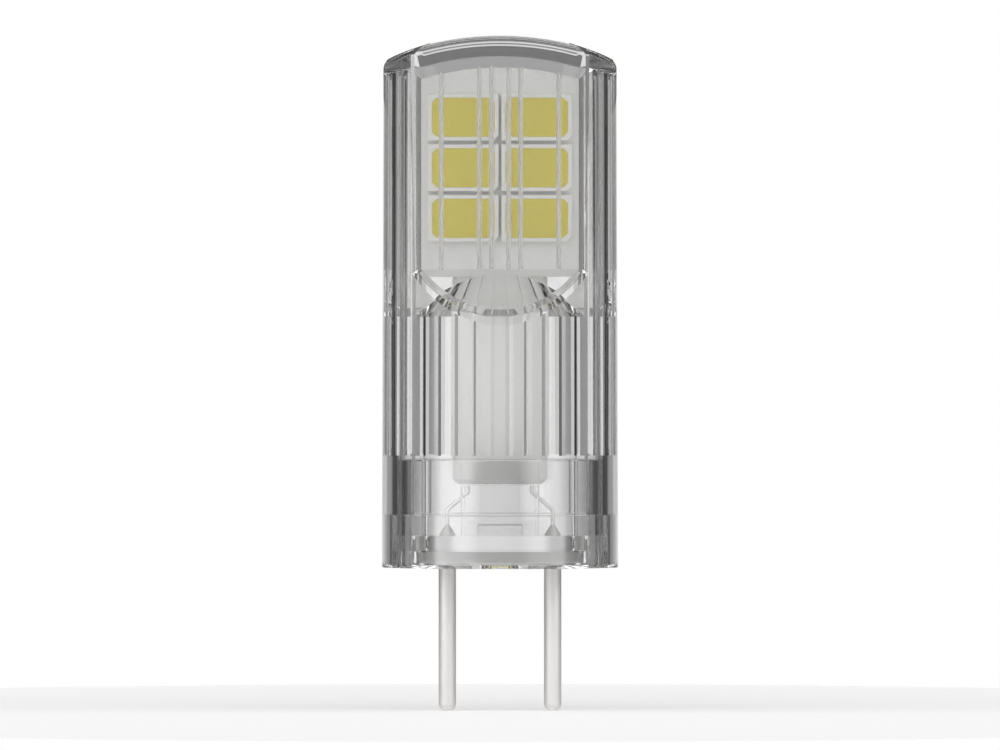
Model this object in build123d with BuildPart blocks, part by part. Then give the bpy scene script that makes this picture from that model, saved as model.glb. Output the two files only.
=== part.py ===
from build123d import *
import math
import os

os.makedirs("parts", exist_ok=True)

# The lamp stands on its pins. The origin is the centre of the base's underside,
# +Z points to the crown, +X runs along the line of the two pins, and the two flat
# windows of the cover look towards -Y and +Y. All sizes are millimetres.

# Clear cover, outside
COVER_BASE_RADIUS = 7.12
COVER_TOP_RADIUS = 7.02
CROWN_HEIGHT = 31.9
ROOF_ARC_RADIUS = 18.2
WINDOW_HALF_DEPTH = 4.9
WINDOW_FOOT_HEIGHT = 17.9
SLOPE_FOOT_HEIGHT = 15.0
COVER_EDGE_ROUNDING = 0.45

# Clear cover, inside
SIDE_WALL = 1.02
WINDOW_WALL = 1.0
ROOF_WALL = 1.2
CEILING_CHAMFER = 0.7
FLUTE_COUNT = 36
FLUTE_RIDGE_HEIGHT = 0.12
FLUTE_RIDGE_HALF_ANGLE = 2.1
FLUTED_BORE_FOOT = 6.75
SHOULDER_START = 0.035
SHOULDER_END = 0.83
SHOULDER_OVERRUN = 1.25
SPIGOT_WALL = 0.92
SKIRT_WALL = 0.57
COVER_SEAT_HEIGHT = 3.2
MOUTH_CHAMFER = 0.2

# Vertical light-guide ridges on the inner face of each window
RIDGE_OFFSETS = (0.52, 1.24, 3.52)
RIDGE_WIDTH = 0.36
RIDGE_HEIGHT = 0.18

# Clear base plug
JOINT_CLEARANCE = 0.05
UNDERSIDE_RIM = 0.9
UNDERSIDE_RECESS = 0.22
PLUG_FLOOR_HEIGHT = 1.95
PLUG_TOP_HEIGHT = 6.5
PLUG_WALL = 0.55
STANDING_TAB_HALF_WIDTH = 2.22
STANDING_TAB_THICKNESS = 0.7
SIDE_WEB_INNER_X = 4.45
SIDE_WEB_THICKNESS = 0.8
CENTRE_LAND_WIDTH = 2.64
LAND_HEIGHT = 0.65
LAND_DEPTH = 3.4
LOCATING_HOLE_RADIUS = 0.45
LOCATING_HOLE_X = 4.5

# White insulating plate in the underside of the plug
PLATE_LENGTH = 7.5
PLATE_DEPTH = 3.2
PLATE_TOP = 0.96
PLATE_CLEARANCE = 0.04

# Contact pins
PIN_SPACING = 6.35
PIN_RADIUS = 0.525
PIN_FREE_LENGTH = 8.65
PIN_TIP_ROUNDING = 0.42
PIN_NECK_RADIUS = 0.35
PIN_HEAD_RADIUS = 0.5
PIN_HEAD_HEIGHT = 0.6
PIN_CLEARANCE = 0.03

# White driver sleeve
SLEEVE_RADIUS = 2.86
SLEEVE_WALL = 0.5
SLEEVE_FOOT = 5.0
SLEEVE_TOP = 15.6
SLEEVE_CAP = 0.8
SLEEVE_CHAMFER = 0.3
SEAT_LEDGE = 0.5
SLEEVE_GROOVE = 0.2
SLEEVE_SLOT_CLEARANCE = 0.05

# Driver board and its parts
DRIVER_BOARD_THICKNESS = 0.6
DRIVER_BOARD_RECESS = 0.2
GROOVE_CLEARANCE = 0.03
BRIDGE_SIZE = (2.6, 1.2, 3.0)
BRIDGE_HEIGHT = 8.3
CAPACITOR_SIZE = (2.5, 1.3, 3.2)
CAPACITOR_HEIGHT = 7.6
CHOKE_SIZE = (2.4, 1.3, 2.4)
CHOKE_HEIGHT = 12.6
CHIP_SIZE = (1.6, 1.0, 2.9)
CHIP_HEIGHT = 12.6
RESISTOR_SIZE = (0.8, 0.45, 1.6)
RESISTOR_HEIGHT = 10.15
RESISTOR_SPACING = 1.6
END_CAP_LENGTH = 0.35
CHIP_LEG_WIDTH = 0.4
CHIP_LEG_REACH = 0.6
CHIP_LEG_THICKNESS = 0.15
CHIP_LEG_PITCH = 0.95

# Supply wires and board links
WIRE_RADIUS = 0.12
WIRE_LANDING_X = 1.9
WIRE_RISE = 0.9
WIRE_LANDING_RISE = 0.7
LINK_WIDTH = 0.8
LINK_THICKNESS = 0.3
LINK_HEIGHT = 0.35
LINK_X = 1.2

# LED board
LED_BOARD_HALF_WIDTH = 4.9
LED_BOARD_THICKNESS = 1.0
LED_BOARD_CEILING_GAP = 0.3
LED_BOARD_TAIL_WIDTH = 3.6
LED_BOARD_TAIL_LENGTH = 1.0
LED_BOARD_CORNER = 0.3

# LED packages, two columns by three rows on each face
LED_COLUMNS = 2
LED_ROWS = 3
LED_WIDTH = 4.26
LED_HEIGHT = 2.82
LED_THICKNESS = 0.75
LED_COLUMN_GAP = 0.16
LED_ROW_GAP = 0.22
LED_TOP_ROW_DROP = 4.82
LED_FRAME_SIDE = 0.26
LED_FRAME_EDGE = 0.24
LED_CORNER_CUT = 0.28
LED_WELL_DEPTH = 0.2
LED_MARK_CUT = 0.3

# Values that follow from the sizes above
ROOF_CENTRE_HEIGHT = CROWN_HEIGHT - ROOF_ARC_RADIUS
CEILING_HEIGHT = CROWN_HEIGHT - ROOF_WALL
CEILING_ARC_RADIUS = ROOF_ARC_RADIUS - ROOF_WALL
WINDOW_INNER_DEPTH = WINDOW_HALF_DEPTH - WINDOW_WALL
BORE_BASE_RADIUS = COVER_BASE_RADIUS - SIDE_WALL
SLOPE_RUN = COVER_BASE_RADIUS - WINDOW_HALF_DEPTH
SLOPE_RISE = WINDOW_FOOT_HEIGHT - SLOPE_FOOT_HEIGHT
SHOULDER_FOOT = SLOPE_FOOT_HEIGHT + SHOULDER_START * SLOPE_RISE
SHOULDER_RISE = (SHOULDER_END - SHOULDER_START) * SLOPE_RISE
SHOULDER_TAPER = 1 - WINDOW_INNER_DEPTH / BORE_BASE_RADIUS
SKIRT_BORE_RADIUS = COVER_BASE_RADIUS - SKIRT_WALL
SPIGOT_BORE_RADIUS = COVER_BASE_RADIUS - SPIGOT_WALL
PLUG_SKIRT_RADIUS = SKIRT_BORE_RADIUS - JOINT_CLEARANCE
PLUG_SPIGOT_RADIUS = SPIGOT_BORE_RADIUS - JOINT_CLEARANCE
PLUG_INNER_RADIUS = PLUG_SPIGOT_RADIUS - PLUG_WALL
PIN_X = PIN_SPACING / 2
SLEEVE_INNER_RADIUS = SLEEVE_RADIUS - SLEEVE_WALL
TAB_INNER_Y = SLEEVE_RADIUS + JOINT_CLEARANCE
DRIVER_FACE_Y = DRIVER_BOARD_THICKNESS / 2
LED_BOARD_FACE_Y = LED_BOARD_THICKNESS / 2
LED_TOP_ROW_HEIGHT = CROWN_HEIGHT - LED_TOP_ROW_DROP
DRIVER_BOARD_FOOT = SLEEVE_FOOT + DRIVER_BOARD_RECESS
DRIVER_BOARD_TOP = SLEEVE_TOP - LED_BOARD_TAIL_LENGTH - LINK_HEIGHT
DRIVER_BOARD_HALF_WIDTH = SLEEVE_INNER_RADIUS + SLEEVE_GROOVE - GROOVE_CLEARANCE
PIN_HEAD_TOP = PLUG_FLOOR_HEIGHT + PIN_HEAD_HEIGHT
BEYOND = 20.0


def bore_corners(share, height):
    """Corners of the bore's outline, drawn in towards the axis to a share of its full
    size. One pointed ridge stands between neighbouring flutes."""
    points = []
    for index in range(FLUTE_COUNT):
        middle = (index + 0.5) * 360 / FLUTE_COUNT
        for angle, reach in (
            (middle - FLUTE_RIDGE_HALF_ANGLE, BORE_BASE_RADIUS),
            (middle, BORE_BASE_RADIUS - FLUTE_RIDGE_HEIGHT),
            (middle + FLUTE_RIDGE_HALF_ANGLE, BORE_BASE_RADIUS),
        ):
            turn = math.radians(angle - 90)
            points.append((share * reach * math.cos(turn), share * reach * math.sin(turn), height))
    return points


# Headroom under the roof: a wheel about the roof's own axis, with cut rims,
# standing in the full width that the bore has below the windows
with BuildPart() as headroom:
    with BuildSketch(Plane.YZ) as rim_section:
        with BuildLine():
            Polyline(
                (-WINDOW_INNER_DEPTH, ROOF_CENTRE_HEIGHT),
                (-WINDOW_INNER_DEPTH, CEILING_HEIGHT - CEILING_CHAMFER),
                (CEILING_CHAMFER - WINDOW_INNER_DEPTH, CEILING_HEIGHT),
                (WINDOW_INNER_DEPTH - CEILING_CHAMFER, CEILING_HEIGHT),
                (WINDOW_INNER_DEPTH, CEILING_HEIGHT - CEILING_CHAMFER),
                (WINDOW_INNER_DEPTH, ROOF_CENTRE_HEIGHT),
                close=True,
            )
        make_face()
    revolve(axis=Axis((0, 0, ROOF_CENTRE_HEIGHT), (0, 1, 0)))
    with BuildSketch(Plane.XY) as lower_room:
        Circle(COVER_BASE_RADIUS)
    extrude(amount=WINDOW_FOOT_HEIGHT)

# Lower end of the core: a fluted bore whose flutes draw in over a conical shoulder
# that meets the inner face of each window. The shoulder's start and end are shares
# of the height of the outer slope
with BuildPart() as bore_foot:
    rings = [
        bore_corners(1, FLUTED_BORE_FOOT),
        bore_corners(1, SHOULDER_FOOT),
        bore_corners(1 - SHOULDER_TAPER * SHOULDER_OVERRUN, SHOULDER_FOOT + SHOULDER_RISE * SHOULDER_OVERRUN),
    ]
    walls = [Face(Wire.make_polygon(rings[0])), Face(Wire.make_polygon(rings[2]))]
    for low_ring, high_ring in zip(rings, rings[1:]):
        for index in range(-1, len(low_ring) - 1):
            corners = [low_ring[index], low_ring[index + 1], high_ring[index + 1], high_ring[index]]
            walls.append(Face(Wire.make_polygon(corners)))
    add(Solid(Shell(walls)))

# The core that leaves the inside of the cover: the fluted bore, cut flat under the
# windows above its shoulder, with pointed ridges standing on each window's inner face
with BuildPart() as core:
    with BuildSketch(Plane.XY.offset(FLUTED_BORE_FOOT)) as bore_section:
        with BuildLine():
            Polyline(*bore_corners(1, 0), close=True)
        make_face()
        Rectangle(BEYOND, 2 * WINDOW_INNER_DEPTH, mode=Mode.INTERSECT)
    extrude(amount=CROWN_HEIGHT - FLUTED_BORE_FOOT)
    add(bore_foot.part)
    add(headroom.part, mode=Mode.INTERSECT)
    for side in (-1, 1):
        with BuildSketch(Plane.XY.offset(WINDOW_FOOT_HEIGHT)) as ridge_row:
            for offset_x in RIDGE_OFFSETS:
                for hand in (-1, 1):
                    centre = hand * offset_x
                    face_y = side * (WINDOW_INNER_DEPTH + JOINT_CLEARANCE)
                    with BuildLine():
                        Polyline(
                            (centre - RIDGE_WIDTH / 2, face_y),
                            (centre, face_y - side * (RIDGE_HEIGHT + JOINT_CLEARANCE)),
                            (centre + RIDGE_WIDTH / 2, face_y),
                            close=True,
                        )
                    make_face()
        extrude(amount=CROWN_HEIGHT - WINDOW_FOOT_HEIGHT, mode=Mode.SUBTRACT)

# Clear cover: drafted cylinder, flattened front and back, arched roof
with BuildPart() as clear_cover:
    Cone(
        COVER_BASE_RADIUS,
        COVER_TOP_RADIUS,
        CROWN_HEIGHT,
        align=(Align.CENTER, Align.CENTER, Align.MIN),
    )
    with BuildSketch(Plane.YZ) as cover_side:
        with BuildLine():
            reach = SLOPE_RUN + BEYOND
            slope_end = WINDOW_FOOT_HEIGHT - SLOPE_RISE * reach / SLOPE_RUN
            Polyline(
                (WINDOW_HALF_DEPTH, CROWN_HEIGHT + BEYOND),
                (WINDOW_HALF_DEPTH, WINDOW_FOOT_HEIGHT),
                (WINDOW_HALF_DEPTH + reach, slope_end),
                (WINDOW_HALF_DEPTH + reach, slope_end - BEYOND),
                (-WINDOW_HALF_DEPTH - reach, slope_end - BEYOND),
                (-WINDOW_HALF_DEPTH - reach, slope_end),
                (-WINDOW_HALF_DEPTH, WINDOW_FOOT_HEIGHT),
                (-WINDOW_HALF_DEPTH, CROWN_HEIGHT + BEYOND),
                close=True,
            )
        make_face()
    extrude(amount=BEYOND, both=True, mode=Mode.INTERSECT)
    with BuildSketch(Plane.XZ) as roof_section:
        with Locations((0, ROOF_CENTRE_HEIGHT)):
            Circle(ROOF_ARC_RADIUS)
    extrude(amount=BEYOND, both=True, mode=Mode.INTERSECT)
    base_edges = clear_cover.edges().group_by(Axis.Z)[0]
    moulding_seam = clear_cover.edges().filter_by(GeomType.LINE).filter_by(
        lambda edge: abs(edge.center().Y) < SIDE_WALL
    )
    fillet(clear_cover.edges() - base_edges - moulding_seam, radius=COVER_EDGE_ROUNDING)
    add(core.part, mode=Mode.SUBTRACT)
    with BuildSketch(Plane.XY) as spigot_bore:
        Circle(SPIGOT_BORE_RADIUS)
    extrude(amount=FLUTED_BORE_FOOT, mode=Mode.SUBTRACT)
    with BuildSketch(Plane.XY) as skirt_bore:
        Circle(SKIRT_BORE_RADIUS)
    extrude(amount=COVER_SEAT_HEIGHT, mode=Mode.SUBTRACT)
    mouth = clear_cover.edges().filter_by(GeomType.CIRCLE).group_by(Axis.Z)[0].sort_by(SortBy.RADIUS)[0]
    chamfer(mouth, length=MOUTH_CHAMFER)
clear_cover.part.label = "clear_cover"
export_step(clear_cover.part, "parts/clear_cover.step")

# Clear base plug: skirt and spigot ring on one floor, two standing tabs that hold
# the sleeve, side webs and small lands, with holes for the pins
with BuildPart() as base_plug:
    with BuildSketch(Plane.XY) as plug_skirt:
        Circle(PLUG_SKIRT_RADIUS)
    extrude(amount=COVER_SEAT_HEIGHT)
    with BuildSketch(Plane.XY.offset(COVER_SEAT_HEIGHT)) as plug_spigot:
        Circle(PLUG_SPIGOT_RADIUS)
    extrude(amount=PLUG_TOP_HEIGHT - COVER_SEAT_HEIGHT)
    with BuildSketch(Plane.XY.offset(PLUG_FLOOR_HEIGHT)) as plug_room:
        Circle(PLUG_INNER_RADIUS)
    extrude(amount=PLUG_TOP_HEIGHT, mode=Mode.SUBTRACT)
    with BuildSketch(Plane.XY.offset(PLUG_FLOOR_HEIGHT)) as tab_section:
        for side in (-1, 1):
            with Locations((0, side * (TAB_INNER_Y + STANDING_TAB_THICKNESS / 2))):
                Rectangle(2 * STANDING_TAB_HALF_WIDTH, STANDING_TAB_THICKNESS)
    extrude(amount=PLUG_TOP_HEIGHT - PLUG_FLOOR_HEIGHT)
    with BuildSketch(Plane.XY.offset(PLUG_FLOOR_HEIGHT)) as ledge_section:
        for side in (-1, 1):
            with Locations((0, side * (TAB_INNER_Y + (STANDING_TAB_THICKNESS - SEAT_LEDGE) / 2))):
                Rectangle(2 * STANDING_TAB_HALF_WIDTH, SEAT_LEDGE + STANDING_TAB_THICKNESS)
    extrude(amount=SLEEVE_FOOT - PLUG_FLOOR_HEIGHT)
    with BuildSketch(Plane.XY.offset(PLUG_FLOOR_HEIGHT)) as web_section:
        for side in (-1, 1):
            web_middle = (SIDE_WEB_INNER_X + PLUG_INNER_RADIUS + JOINT_CLEARANCE) / 2
            with Locations((side * web_middle, 0)):
                Rectangle(2 * (web_middle - SIDE_WEB_INNER_X), SIDE_WEB_THICKNESS)
    extrude(amount=PLUG_TOP_HEIGHT - PLUG_FLOOR_HEIGHT)
    with BuildSketch(Plane.XY.offset(PLUG_FLOOR_HEIGHT)) as land_section:
        Rectangle(CENTRE_LAND_WIDTH, LAND_DEPTH)
    extrude(amount=LAND_HEIGHT)
    with BuildSketch(Plane.XY) as underside:
        Circle(PLUG_SKIRT_RADIUS - UNDERSIDE_RIM)
    extrude(amount=UNDERSIDE_RECESS, mode=Mode.SUBTRACT)
    with BuildSketch(Plane.XY) as plate_pocket:
        SlotOverall(PLATE_LENGTH + 2 * PLATE_CLEARANCE, PLATE_DEPTH + 2 * PLATE_CLEARANCE)
    extrude(amount=PLATE_TOP, mode=Mode.SUBTRACT)
    with BuildSketch(Plane.XY) as pin_holes:
        with Locations((-PIN_X, 0), (PIN_X, 0)):
            Circle(PIN_NECK_RADIUS + PIN_CLEARANCE)
    extrude(amount=PLUG_FLOOR_HEIGHT, mode=Mode.SUBTRACT)
    with BuildSketch(Plane.XY) as locating_holes:
        with Locations((-LOCATING_HOLE_X, 0), (LOCATING_HOLE_X, 0)):
            Circle(LOCATING_HOLE_RADIUS)
    extrude(amount=PLATE_TOP, mode=Mode.SUBTRACT)
base_plug.part.label = "base_plug"
export_step(base_plug.part, "parts/base_plug.step")

# White insulating plate around the pins
with BuildPart() as insulating_plate:
    with BuildSketch(Plane.XY.offset(UNDERSIDE_RECESS)) as plate_outline:
        SlotOverall(PLATE_LENGTH, PLATE_DEPTH)
        with Locations((-PIN_X, 0), (PIN_X, 0)):
            Circle(PIN_NECK_RADIUS + PIN_CLEARANCE, mode=Mode.SUBTRACT)
    extrude(amount=PLATE_TOP - UNDERSIDE_RECESS)
insulating_plate.part.label = "insulating_plate"
export_step(insulating_plate.part, "parts/insulating_plate.step")

# Contact pins: turned rods with a rounded free tip, a coned shoulder under the plate,
# a neck through the plug's floor and a pointed soldering head above it
for pin_name, pin_hand in (("left", -1), ("right", 1)):
    with BuildPart() as contact_pin:
        with BuildSketch(Plane.XZ) as pin_half:
            with BuildLine():
                Polyline(
                    (0, PIN_HEAD_TOP),
                    (WIRE_RADIUS, PIN_HEAD_TOP),
                    (PIN_HEAD_RADIUS, PLUG_FLOOR_HEIGHT),
                    (PIN_NECK_RADIUS, PLUG_FLOOR_HEIGHT),
                    (PIN_NECK_RADIUS, UNDERSIDE_RECESS),
                    (PIN_RADIUS, 0),
                    (PIN_RADIUS, -PIN_FREE_LENGTH),
                    (0, -PIN_FREE_LENGTH),
                    close=True,
                )
            make_face()
            tip = pin_half.vertices().group_by(Axis.Y)[0].sort_by(Axis.X)[-1]
            fillet(tip, radius=PIN_TIP_ROUNDING)
        revolve(axis=Axis.Z)
    contact_pin.part.label = "contact_pin_" + pin_name
    placed_pin = contact_pin.part.moved(Location((pin_hand * PIN_X, 0, 0)))
    placed_pin.label = contact_pin.part.label
    export_step(placed_pin, "parts/contact_pin_" + pin_name + ".step")

# White driver sleeve: a tube with a slotted cap, and two grooves for the board
with BuildPart() as driver_sleeve:
    with BuildSketch(Plane.XY.offset(SLEEVE_FOOT)) as sleeve_outline:
        Circle(SLEEVE_RADIUS)
    extrude(amount=SLEEVE_TOP - SLEEVE_FOOT)
    chamfer(driver_sleeve.edges().filter_by(GeomType.CIRCLE), length=SLEEVE_CHAMFER)
    with BuildSketch(Plane.XY.offset(SLEEVE_FOOT)) as sleeve_bore:
        Circle(SLEEVE_INNER_RADIUS)
    extrude(amount=SLEEVE_TOP - SLEEVE_CAP - SLEEVE_FOOT, mode=Mode.SUBTRACT)
    with BuildSketch(Plane.XY.offset(SLEEVE_FOOT)) as sleeve_grooves:
        Rectangle(
            2 * (SLEEVE_INNER_RADIUS + SLEEVE_GROOVE),
            DRIVER_BOARD_THICKNESS + 2 * GROOVE_CLEARANCE,
        )
    extrude(amount=SLEEVE_TOP - SLEEVE_CAP - SLEEVE_FOOT, mode=Mode.SUBTRACT)
    with BuildSketch(Plane.XY.offset(SLEEVE_TOP)) as tail_slot:
        Rectangle(
            LED_BOARD_TAIL_WIDTH + 2 * SLEEVE_SLOT_CLEARANCE,
            LED_BOARD_THICKNESS + 2 * SLEEVE_SLOT_CLEARANCE,
        )
    extrude(amount=-SLEEVE_CAP, mode=Mode.SUBTRACT)
driver_sleeve.part.label = "driver_sleeve"
export_step(driver_sleeve.part, "parts/driver_sleeve.step")

# Driver board, standing in the sleeve's grooves
with BuildPart() as driver_board:
    with BuildSketch(Plane.XY.offset(DRIVER_BOARD_FOOT)) as driver_section:
        Rectangle(2 * DRIVER_BOARD_HALF_WIDTH, DRIVER_BOARD_THICKNESS)
    extrude(amount=DRIVER_BOARD_TOP - DRIVER_BOARD_FOOT)
driver_board.part.label = "driver_board"
export_step(driver_board.part, "parts/driver_board.step")


def face_plane(side, x, height, face_y):
    """Plane on a board's front (-1) or back (+1) face, its X to the right from outside."""
    return Plane(origin=(x, side * face_y, height), x_dir=(-side, 0, 0), z_dir=(0, side, 0))


# Rectifier bridge: a moulded block with four flat legs
with BuildPart() as rectifier_bridge:
    with BuildSketch(face_plane(1, 0, BRIDGE_HEIGHT, DRIVER_FACE_Y)) as bridge_body:
        Rectangle(BRIDGE_SIZE[0], BRIDGE_SIZE[2])
    extrude(amount=BRIDGE_SIZE[1], taper=6)
    with BuildSketch(face_plane(1, 0, BRIDGE_HEIGHT, DRIVER_FACE_Y)) as bridge_legs:
        with GridLocations(BRIDGE_SIZE[0] / 2, BRIDGE_SIZE[2] + CHIP_LEG_REACH / 2, 2, 2):
            Rectangle(CHIP_LEG_WIDTH, CHIP_LEG_REACH)
    extrude(amount=CHIP_LEG_THICKNESS)
rectifier_bridge.part.label = "rectifier_bridge"
export_step(rectifier_bridge.part, "parts/rectifier_bridge.step")

# Smoothing capacitor: a ceramic block between two metal end caps
with BuildPart() as smoothing_capacitor:
    with BuildSketch(face_plane(-1, 0, CAPACITOR_HEIGHT, DRIVER_FACE_Y)) as capacitor_body:
        Rectangle(CAPACITOR_SIZE[0], CAPACITOR_SIZE[2])
    extrude(amount=CAPACITOR_SIZE[1])
    fillet(smoothing_capacitor.edges().filter_by(Axis.Z), radius=END_CAP_LENGTH / 3)
smoothing_capacitor.part.label = "smoothing_capacitor"
export_step(smoothing_capacitor.part, "parts/smoothing_capacitor.step")

# Choke: a square ferrite drum with a waist round its winding
with BuildPart() as choke:
    with BuildSketch(face_plane(1, 0, CHOKE_HEIGHT, DRIVER_FACE_Y)) as choke_foot:
        RectangleRounded(CHOKE_SIZE[0], CHOKE_SIZE[2], END_CAP_LENGTH)
    extrude(amount=END_CAP_LENGTH)
    with BuildSketch(face_plane(1, 0, CHOKE_HEIGHT, DRIVER_FACE_Y)) as choke_waist:
        Circle(CHOKE_SIZE[0] / 2 - END_CAP_LENGTH)
    extrude(amount=CHOKE_SIZE[1])
    with BuildSketch(
        face_plane(1, 0, CHOKE_HEIGHT, DRIVER_FACE_Y + CHOKE_SIZE[1] - END_CAP_LENGTH)
    ) as choke_head:
        RectangleRounded(CHOKE_SIZE[0], CHOKE_SIZE[2], END_CAP_LENGTH)
    extrude(amount=END_CAP_LENGTH)
choke.part.label = "choke"
export_step(choke.part, "parts/choke.step")

# Driver chip: a moulded body with three legs on each side
with BuildPart() as driver_chip:
    with BuildSketch(face_plane(-1, 0, CHIP_HEIGHT, DRIVER_FACE_Y)) as chip_body:
        Rectangle(CHIP_SIZE[0], CHIP_SIZE[2])
    extrude(amount=CHIP_SIZE[1], taper=6)
    with BuildSketch(face_plane(-1, 0, CHIP_HEIGHT, DRIVER_FACE_Y)) as chip_legs:
        with GridLocations(CHIP_SIZE[0] + CHIP_LEG_REACH / 2, CHIP_LEG_PITCH, 2, 3):
            Rectangle(CHIP_LEG_REACH, CHIP_LEG_WIDTH)
    extrude(amount=CHIP_LEG_THICKNESS)
driver_chip.part.label = "driver_chip"
export_step(driver_chip.part, "parts/driver_chip.step")

# Two sense resistors side by side
for resistor_name, resistor_hand in (("left", -1), ("right", 1)):
    resistor_x = resistor_hand * RESISTOR_SPACING / 2
    with BuildPart() as sense_resistor:
        with BuildSketch(face_plane(-1, resistor_x, RESISTOR_HEIGHT, DRIVER_FACE_Y)) as resistor_body:
            Rectangle(RESISTOR_SIZE[0], RESISTOR_SIZE[2] - 2 * END_CAP_LENGTH)
        extrude(amount=RESISTOR_SIZE[1])
        with BuildSketch(face_plane(-1, resistor_x, RESISTOR_HEIGHT, DRIVER_FACE_Y)) as resistor_caps:
            with GridLocations(0, RESISTOR_SIZE[2] - END_CAP_LENGTH, 1, 2):
                Rectangle(RESISTOR_SIZE[0], END_CAP_LENGTH)
        extrude(amount=RESISTOR_SIZE[1] * 1.1)
    sense_resistor.part.label = "sense_resistor_" + resistor_name
    export_step(sense_resistor.part, "parts/sense_resistor_" + resistor_name + ".step")

# Supply wires: from the top of each pin's head to the foot of the driver board
for wire_name, wire_hand in (("left", -1), ("right", 1)):
    with BuildPart() as supply_wire:
        with BuildLine(Plane.XZ) as wire_route:
            Polyline(
                (wire_hand * PIN_X, PIN_HEAD_TOP),
                (wire_hand * PIN_X, PIN_HEAD_TOP + WIRE_RISE),
                (wire_hand * WIRE_LANDING_X, DRIVER_BOARD_FOOT - WIRE_LANDING_RISE),
                (wire_hand * WIRE_LANDING_X, DRIVER_BOARD_FOOT),
            )
        with BuildSketch(Plane.XY.offset(PIN_HEAD_TOP)) as wire_section:
            with Locations((wire_hand * PIN_X, 0)):
                Circle(WIRE_RADIUS)
        sweep(path=wire_route.wires()[0], transition=Transition.RIGHT)
    supply_wire.part.label = "supply_wire_" + wire_name
    export_step(supply_wire.part, "parts/supply_wire_" + wire_name + ".step")

# LED board: an arched plate that stands on the sleeve's cap, its tail in the slot
with BuildPart() as led_board:
    with BuildSketch(Plane.XZ) as led_board_outline:
        with Locations((0, ROOF_CENTRE_HEIGHT)):
            Circle(CEILING_ARC_RADIUS - LED_BOARD_CEILING_GAP)
        board_height = CROWN_HEIGHT - SLEEVE_TOP
        with Locations((0, SLEEVE_TOP + board_height / 2)):
            Rectangle(2 * LED_BOARD_HALF_WIDTH, board_height, mode=Mode.INTERSECT)
        fillet(led_board_outline.vertices(), radius=LED_BOARD_CORNER)
        with Locations((0, SLEEVE_TOP - LED_BOARD_TAIL_LENGTH / 2)):
            Rectangle(LED_BOARD_TAIL_WIDTH, LED_BOARD_TAIL_LENGTH)
    extrude(amount=LED_BOARD_THICKNESS / 2, both=True)
led_board.part.label = "led_board"
export_step(led_board.part, "parts/led_board.step")

# Metal links that join the two boards' edges
for link_name, link_hand in (("left", -1), ("right", 1)):
    with BuildPart() as board_link:
        with BuildSketch(Plane.XY.offset(DRIVER_BOARD_TOP)) as link_section:
            with Locations((link_hand * LINK_X, 0)):
                RectangleRounded(LINK_WIDTH, LINK_THICKNESS, LINK_THICKNESS / 3)
        extrude(amount=LINK_HEIGHT)
    board_link.part.label = "board_link_" + link_name
    export_step(board_link.part, "parts/board_link_" + link_name + ".step")


def well_outline(width, height, corner):
    """Closed outline of the light-giving well: a rectangle with cut corners."""
    half_width = width / 2
    half_height = height / 2
    Polyline(
        (-half_width + corner, -half_height),
        (half_width - corner, -half_height),
        (half_width, -half_height + corner),
        (half_width, half_height - corner),
        (half_width - corner, half_height),
        (-half_width + corner, half_height),
        (-half_width, half_height - corner),
        (-half_width, -half_height + corner),
        close=True,
    )


# LED packages: a white housing with a cut-corner well, and the phosphor that fills it
WELL_WIDTH = LED_WIDTH - 2 * LED_FRAME_SIDE
WELL_HEIGHT = LED_HEIGHT - 2 * LED_FRAME_EDGE
for face_name, side in (("front", -1), ("back", 1)):
    for row in range(LED_ROWS):
        for column in range(LED_COLUMNS):
            led_name = face_name + "_" + str(row * LED_COLUMNS + column + 1)
            led_x = (column - (LED_COLUMNS - 1) / 2) * (LED_WIDTH + LED_COLUMN_GAP)
            led_z = LED_TOP_ROW_HEIGHT - row * (LED_HEIGHT + LED_ROW_GAP)
            seat_plane = face_plane(side, -side * led_x, led_z, LED_BOARD_FACE_Y)
            front_plane = seat_plane.offset(LED_THICKNESS)
            with BuildPart() as led_housing:
                with BuildSketch(seat_plane) as housing_outline:
                    Rectangle(LED_WIDTH, LED_HEIGHT)
                    mark_corner = housing_outline.vertices().group_by(Axis.Y)[0].sort_by(Axis.X)[-1]
                    chamfer(mark_corner, length=LED_MARK_CUT)
                extrude(amount=LED_THICKNESS)
                with BuildSketch(front_plane) as housing_well:
                    with BuildLine():
                        well_outline(WELL_WIDTH, WELL_HEIGHT, LED_CORNER_CUT)
                    make_face()
                extrude(amount=-LED_WELL_DEPTH, mode=Mode.SUBTRACT)
            led_housing.part.label = "led_housing_" + led_name
            export_step(led_housing.part, "parts/led_housing_" + led_name + ".step")
            with BuildPart() as led_phosphor:
                with BuildSketch(front_plane) as phosphor_outline:
                    with BuildLine():
                        well_outline(WELL_WIDTH, WELL_HEIGHT, LED_CORNER_CUT)
                    make_face()
                extrude(amount=-LED_WELL_DEPTH)
            led_phosphor.part.label = "led_phosphor_" + led_name
            export_step(led_phosphor.part, "parts/led_phosphor_" + led_name + ".step")
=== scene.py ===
"""Studio look of a clear two-pin LED capsule lamp.

The lamp stands on its two contact pins on a white card. What a field or an argument gives
in millimetres is turned into metres with MM before it reaches the scene, and every place is
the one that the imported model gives.
"""

import logging
import math
from collections.abc import Callable
from dataclasses import dataclass, field
from enum import Enum

import bmesh
import bpy
from mathutils import Matrix


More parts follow.
